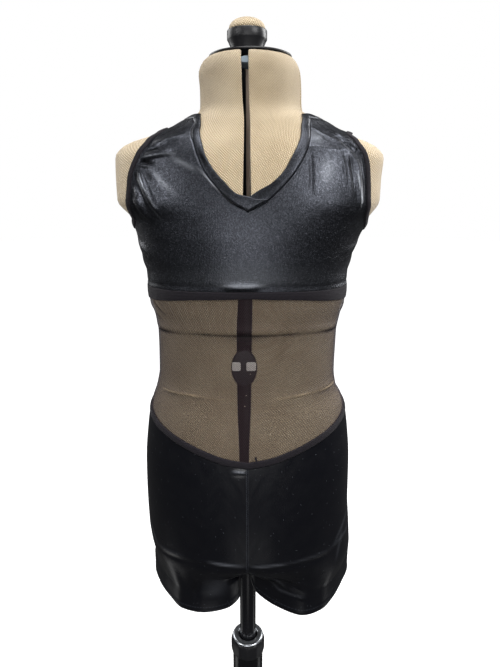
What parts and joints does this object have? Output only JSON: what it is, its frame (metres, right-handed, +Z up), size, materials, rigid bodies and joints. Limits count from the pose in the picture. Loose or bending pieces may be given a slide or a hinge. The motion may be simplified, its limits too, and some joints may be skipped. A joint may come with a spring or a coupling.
{
  "type": "dance shortall on dress form and stand",
  "caption": "Child's sleeveless dance shortall: crossover neck, gathered bodice, sheer mesh middle and fitted shorts, worn by a limbless adjustable dress form on a pole stand.",
  "frame": {"origin": "on the floor, on the axis of the stand's pole", "axes": "+Z up along the pole, the front faces -Y, and the wearer's left is +X"},
  "size_m": [0.338, 0.338, 1.239],
  "materials": {
    "metallic_spandex": "dark, slightly metallic stretch knit",
    "matte_elastic": "matte black woven elastic",
    "power_mesh": "sheer black stretch mesh over a beige form",
    "black_spandex": "black stretch knit with a soft sheen",
    "form_knit": "beige jersey glued over plastic shells",
    "black_plastic": "satin black plastic",
    "black_steel": "glossy black paint",
    "chrome": "bright plating",
    "rubber": "dark rubber"
  },
  "bodies": {
    "stand": {"base_hub": "black_plastic", "outer_tube": "black_steel", "stand_leg_1": "black_steel", "stand_leg_2": "black_steel", "stand_leg_3": "black_steel", "stand_leg_4": "black_steel", "foot_1": "rubber", "foot_2": "rubber", "foot_3": "rubber", "foot_4": "rubber"},
    "mast": {"pole": "black_steel", "stop_collar": "black_plastic"},
    "clamp": {"lock_collar": "black_plastic", "lock_ring": "chrome"},
    "torso": {"form_front_left": "form_knit", "form_front_right": "form_knit", "form_back_left": "form_knit", "form_back_right": "form_knit", "hip_spider": "black_plastic", "chest_spider": "black_plastic", "waist_dial": "black_plastic", "neck_cap": "black_plastic", "bodice_front": "metallic_spandex", "bodice_back": "metallic_spandex", "neckband": "metallic_spandex", "armhole_binding_left": "matte_elastic", "armhole_binding_right": "matte_elastic", "underbust_band": "matte_elastic", "midriff_front": "power_mesh", "midriff_back": "power_mesh", "waist_band": "matte_elastic", "shorts_left": "black_spandex", "shorts_right": "black_spandex"},
    "knob": {"neck_knob": "black_plastic", "knob_cushion": "form_knit"}
  },
  "joints": [
    {"name": "height_slide", "type": "slide", "parent": "stand", "child": "mast", "axis": [0, 0, 1], "range_m": [-0.075, 0.2]},
    {"name": "clamp_turn", "type": "hinge", "parent": "stand", "child": "clamp", "pos_m": [0, 0, 0.45], "axis": [0, 0, 1], "range_deg": [0, 90]},
    {"name": "torso_swivel", "type": "hinge", "parent": "mast", "child": "torso", "pos_m": [0, 0, 0.7], "axis": [0, 0, 1], "continuous": true},
    {"name": "knob_turn", "type": "hinge", "parent": "torso", "child": "knob", "pos_m": [0, 0, 1.215], "axis": [0, 0, 1], "continuous": true}
  ]
}
